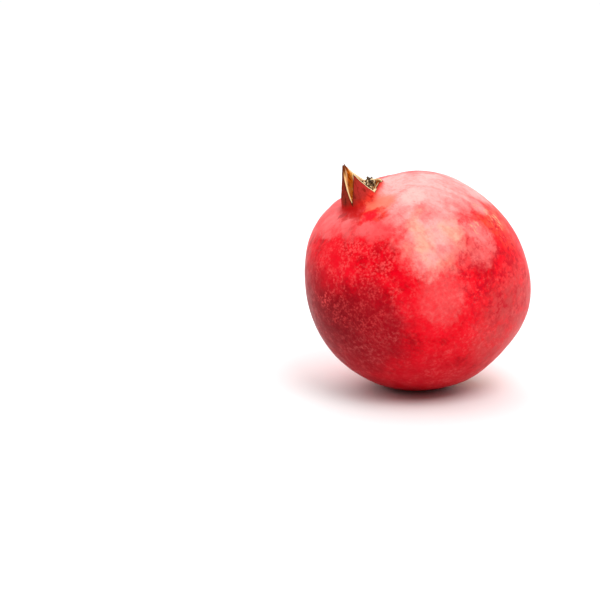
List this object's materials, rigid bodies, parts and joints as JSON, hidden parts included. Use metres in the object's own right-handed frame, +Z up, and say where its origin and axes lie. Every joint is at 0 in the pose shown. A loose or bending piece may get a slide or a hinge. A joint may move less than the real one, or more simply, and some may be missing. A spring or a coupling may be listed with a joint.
{
  "type": "pomegranate",
  "caption": "Whole ripe fruit with leathery red skin, lying tipped over, its open calyx crown raised to the upper left with dried stamens inside and a stem stub below.",
  "frame": {"origin": "middle of the bounding box at the floor, on the small flat that the fruit rests on", "axes": "+Z up, +Y away from the camera of the picture, +X to its right; the crown leans to -X, a little to -Y"},
  "size_m": [0.0966, 0.0948, 0.099],
  "materials": {
    "skin": "satin",
    "stamens": "matte",
    "stem": "matte"
  },
  "bodies": {
    "root": {"fruit": "skin", "stamens": "stamens", "stem": "stem"}
  },
  "joints": []
}
